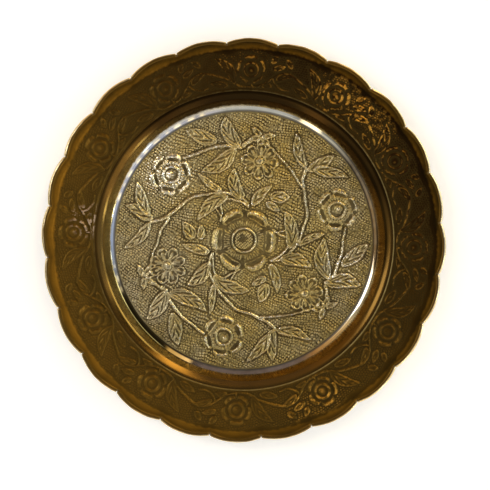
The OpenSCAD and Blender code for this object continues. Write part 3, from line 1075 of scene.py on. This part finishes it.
def rubbed_and_lit_brass(finish, form):
    """The embossed side: worn ridges, brown hollows, a silvery cove, bronze wall and rim, gold border, with
    painted highlights, reflections and shade.
    """
    material, n = new_material("rubbed_and_lit_brass")
    at = Embossed(n, form)
    base = bronze_finish(n, at, finish)
    for lay in (cove_finish, border_finish, floor_finish, relief_finish):
        base = lay(n, at, finish, base)
    rough = 0.40 - at.floor * 0.10 + at.recess * 0.15 - at.rub * (0.06 + at.bright * 0.1)
    rough = rough - at.fleck * 0.18 - at.wall * 0.20 - at.cove * 0.14 - at.border * 0.10
    rough = rough + (at.grain - 0.5) * (0.12 - at.wall * 0.08)
    fine = n.bump(at.grain * (1 - at.wall * 0.96) * (1 - at.border * 0.7), 0.35, 0.06 * MM)
    # Painted light: the cove's upper left partly non-metal, so that the lamps light it as a broad pale band.
    bloom = at.cove * at.r.within(form.floor_r + 1.5, form.floor_r + 3)
    bloom = bloom * (at.left * 0.7 + at.up * 0.72).within(0.6, 0.95)
    metal = 1 - at.recess * at.floor * 0.3 - bloom * 0.8
    n.finish("BsdfPrincipled", Base_Color=base, Metallic=metal, Roughness=rough, Normal=fine)
    return material


def lip_brass(finish, form):
    """The lip: brown beside the border, pale along the outermost line, most at the two sides: partly rubbed
    wear, partly a painted highlight.
    """
    material, n = new_material("lip_brass")
    place = n.place(1 / MM)
    patch = n.noise(place, 0.12, 3.0)
    grain = n.noise(place, 1.5, 2.0, 0.6)
    x, y, _ = n.parts(place)
    # Painted highlight: the lip paler at its left and right sides.
    lighted = (((x * 0.98 - y * 0.2) / form.tip) ** 2).within(0.28, 0.92)
    # Pale lip: partly rubbed wear, partly a painted highlight on the outermost line.
    worn = (n.attribute("outward") + (patch - 0.5) * 0.9 + lighted * 0.4 - 0.03).within(0.35, 0.85)
    base = n.mix(grain.within(0.4, 0.8) * 0.5, finish.rim_bronze, finish.tarnish_and_shade_brown)
    base = n.mix(worn, base, finish.lip_wear_and_sheen)
    n.finish("BsdfPrincipled", Base_Color=base, Metallic=1 - (1 - worn) * 0.1,
             Roughness=0.36 - worn * 0.12 + (grain - 0.5) * 0.1, Normal=n.bump(grain, 0.3, 0.03 * MM))
    return material


def plain_brass(name, tint, tarnish, rough, grain_scale, grain_height, cloud_scale=0.08, worn=None):
    """Brass with clouds of tarnish and a fine grain."""
    material, n = new_material(name)
    place = n.place(1 / MM)
    cloud = n.noise(place, cloud_scale, 4.0)
    grain = n.noise(place, grain_scale, 2.0, 0.6)
    base = n.mix(cloud.within(0.35, 0.75) * 0.6, tint, tarnish)
    base = n.mix(grain.within(0.5, 0.8) * 0.3, base, tarnish)
    if worn is not None:
        base = n.mix(n.noise(place, 0.3, 3.0).within(0.45, 0.65) * 0.6, base, worn)
    n.finish("BsdfPrincipled", Base_Color=base, Metallic=1 - cloud.within(0.5, 0.8) * 0.2,
             Roughness=rough + (grain - 0.5) * 0.15 + cloud * 0.1,
             Normal=n.bump(grain, 0.4, grain_height * MM))
    return material


def stage_paper(finish):
    """The pale floor: it takes the shadow, and looks white to the camera and in reflections."""
    material, n = new_material("stage_paper")
    path = n.node("LightPath")
    glossy = Value(n, path.socket.node.outputs["Is Glossy Ray"])
    through = Value(n, path.socket.node.outputs["Is Transmission Ray"])
    seen = path.math("MAXIMUM", path, path.math("MAXIMUM", glossy, through))
    n.finish("BsdfPrincipled", Base_Color=finish.stage_white, Roughness=0.9,
             Emission_Color=n.mix(seen, (0, 0, 0), finish.stage_glow), Emission_Strength=1.0)
    return material


# What stands round the tray: heading, half width and soft edge in degrees, colour, and whether
# thin bars cross it
ROUND_ABOUT = (
    (0, 18, 12, (0.50, 0.56, 0.68), False),
    (-88, 20, 8, (0.58, 0.60, 0.62), False),
    (-142, 20, 14, (0.30, 0.31, 0.30), False),
    (-43, 30, 8, (0.62, 0.62, 0.74), False),
    (-43, 26, 5, (2.3, 1.95, 1.3), True),
    (153, 12, 8, (0.46, 0.39, 0.27), False),
    (131, 10, 8, (0.8, 0.54, 0.25), False),
    (20, 5, 2, (2.4, 2.3, 1.9), True),
    (96, 20, 10, (0.42, 0.35, 0.33), False),
    (-118, 3, 3, (3.0, 2.5, 1.7), False),
    (63, 4, 3, (6.5, 5.0, 2.4), False),
)
ROOM_DARK = (0.11, 0.10, 0.08)
CEILING = (0.22, 0.21, 0.195)
LOW_STRIP = (4.6, 5.0, 4.2)
SMALL_LIGHT = (8.0, 9.0, 8.5)


def surroundings(light):
    """The room round the tray: patches of light at low heights, bars, small lights and a plain ceiling."""
    world = bpy.data.worlds.new("surroundings")
    n = Nodes(world)
    x, y, up = n.parts(n.node("TexCoord", output=0))
    side = (x * x + y * y) ** 0.5

    def toward(heading, wide, soft):
        """How far a direction lies within that many degrees of a heading, with a soft end."""
        h = math.radians(heading)
        near = (x * math.cos(h) + y * math.sin(h)) / side
        return near.within(math.cos(math.radians(wide + soft)), math.cos(math.radians(wide)))

    bearing = y.math("ARCTAN2", y, x)
    bars = ((bearing * 61).sine() + (bearing * 37).sine() * 0.7).within(-0.1, 0.5)
    room = ROOM_DARK
    for heading, wide, soft, tint, barred in ROUND_ABOUT:
        share = toward(heading, wide, soft)
        room = n.mix(share * bars if barred else share, room, tint)
    sky = n.mix(up.within(0.97, 0.80), CEILING, room)
    sky = n.mix(toward(36, 16, 5) * up.within(0.34, 0.22), sky, LOW_STRIP)
    spots = toward(-10, 2, 1) + toward(10, 1, 1) * 0.5 + toward(-41, 2, 1)
    sky = n.mix(spots * up.within(0.42, 0.34), sky, SMALL_LIGHT)
    n.finish("Background", Color=sky, Strength=light)
    return world


# ---------------------------------------------------------------- operators


class TRAY_OT_pressed_sheet(bpy.types.Operator):
    """Press the sheet: floor, wall, rim and border, with the relief"""
    bl_idname = "tray.pressed_sheet"
    bl_label = "Pressed sheet"

    def execute(self, context):
        scene = context.scene
        finish = scene.tray_finish
        form = Form(scene.tray_sizes)
        mesh = pressed_sheet(form, scene.tray_relief)
        under = plain_brass("underside_brass", finish.under_brass, finish.tarnish_and_shade_brown, 0.38, 1.2, 0.05)
        materials = [rubbed_and_lit_brass(finish, form), under]
        add_piece("pressed_sheet", mesh, materials, "tray_body")
        return {"FINISHED"}


class TRAY_OT_rolled_lip(bpy.types.Operator):
    """Roll the lip of each scallop round the wire"""
    bl_idname = "tray.rolled_lip"
    bl_label = "Rolled lip"

    def execute(self, context):
        scene = context.scene
        form = Form(scene.tray_sizes)
        materials = [lip_brass(scene.tray_finish, form)]
        add_piece("rolled_lip", rolled_lip(form), materials, "tray_body")
        return {"FINISHED"}


class TRAY_OT_wire_and_foot(bpy.types.Operator):
    """Finish the wire, the foot ring and its solder, which keep their CAD shapes"""
    bl_idname = "tray.wire_and_foot"
    bl_label = "Wire and foot"

    def execute(self, context):
        finish = context.scene.tray_finish
        brown = finish.tarnish_and_shade_brown
        wire = plain_brass("drawn_wire", finish.wire_brass, brown, 0.35, 2.0, 0.03)
        foot = plain_brass("foot_brass", finish.foot_brass, brown, 0.33, 1.0, 0.04, 0.05, finish.worn_and_lit_brass)
        solder = plain_brass("soft_solder", finish.solder_grey, finish.solder_dark, 0.5, 0.8, 0.08)
        for node, material in (("edge_wire", wire), ("foot_ring", foot), ("foot_solder", solder)):
            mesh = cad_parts[node].data
            mesh.materials.clear()
            mesh.materials.append(material)
        return {"FINISHED"}


def add_lamp(name, place, aim, size, power, tint):
    data = bpy.data.lights.new(name, "AREA")
    data.shape = "RECTANGLE"
    data.size, data.size_y = size
    data.energy = power
    data.color = tint
    lamp = bpy.data.objects.new(name, data)
    bpy.context.scene.collection.objects.link(lamp)
    lamp.location = place
    lamp.rotation_euler = (Vector(aim) - Vector(place)).to_track_quat("-Z", "Y").to_euler()


def add_stage_floor(half, material):
    mesh = bpy.data.meshes.new("stage_floor")
    corners = [(-half, -half, 0), (half, -half, 0), (half, half, 0), (-half, half, 0)]
    mesh.from_pydata(corners, [], [(0, 1, 2, 3)])
    mesh.materials.append(material)
    floor = bpy.data.objects.new("stage_floor", mesh)
    bpy.context.scene.collection.objects.link(floor)


def add_camera(stage, turn):
    """A camera straight above the tray, turned with the floor's relief."""
    lens = bpy.data.cameras.new("camera")
    camera = bpy.data.objects.new("camera", lens)
    bpy.context.scene.collection.objects.link(camera)
    middle = turned(complex(stage.view_x, stage.view_y), math.degrees(turn))
    camera.location = (middle.real, middle.imag, CAD_HIGH.z + stage.view_distance)
    camera.rotation_euler = (0, 0, turn)
    lens.sensor_width = 36
    lens.lens = lens.sensor_width * stage.view_distance / stage.view_width
    lens.clip_end = 20
    bpy.context.scene.camera = camera


class TRAY_OT_stage(bpy.types.Operator):
    """Set the stage: pale floor, soft lamps, surroundings and camera"""
    bl_idname = "tray.stage"
    bl_label = "Stage"

    def execute(self, context):
        scene = context.scene
        stage = scene.tray_stage
        add_stage_floor(stage.stage_size / 2, stage_paper(scene.tray_finish))
        add_lamp("window", (-1.02, 0.36, 1.15), (0, 0, 0), (0.4, 1.0), stage.window_power, (0.97, 0.98, 1.0))
        add_lamp("side", (-0.42, -0.10, 0.58), (-0.10, -0.02, 0), (0.9, 0.5), stage.side_power,
                 (1.0, 0.95, 0.82))
        scene.world = surroundings(stage.world_light)
        add_camera(stage, scene.tray_relief.floor_turn)
        scene.view_settings.view_transform = "Standard"
        return {"FINISHED"}


class TRAY_PT_panel(bpy.types.Panel):
    """The tray's pieces and sizes"""
    bl_idname = "TRAY_PT_panel"
    bl_label = "Pressed brass tray"
    bl_space_type = "VIEW_3D"
    bl_region_type = "UI"
    bl_category = "Tray"

    def draw(self, context):
        layout = self.layout
        for operator in OPERATORS:
            layout.operator(operator.bl_idname)
        for name in SETTINGS:
            group = getattr(context.scene, name)
            box = layout.box()
            for key in group.__annotations__:
                box.prop(group, key)


OPERATORS = (TRAY_OT_stage, TRAY_OT_pressed_sheet, TRAY_OT_rolled_lip, TRAY_OT_wire_and_foot)
SETTINGS = {
    "tray_sizes": TraySizes,
    "tray_relief": TrayRelief,
    "tray_finish": TrayFinish,
    "tray_stage": TrayStage,
}


def register():
    for item in (*SETTINGS.values(), *OPERATORS, TRAY_PT_panel):
        bpy.utils.register_class(item)
    for name, group in SETTINGS.items():
        setattr(bpy.types.Scene, name, bpy.props.PointerProperty(type=group))


def unregister():
    for name in SETTINGS:
        delattr(bpy.types.Scene, name)
    for item in (TRAY_PT_panel, *OPERATORS[::-1], *SETTINGS.values()):
        bpy.utils.unregister_class(item)


def main():
    register()
    bpy.ops.tray.stage()
    bpy.ops.tray.pressed_sheet()
    bpy.ops.tray.rolled_lip()
    bpy.ops.tray.wire_and_foot()


if __name__ == "__main__":
    main()
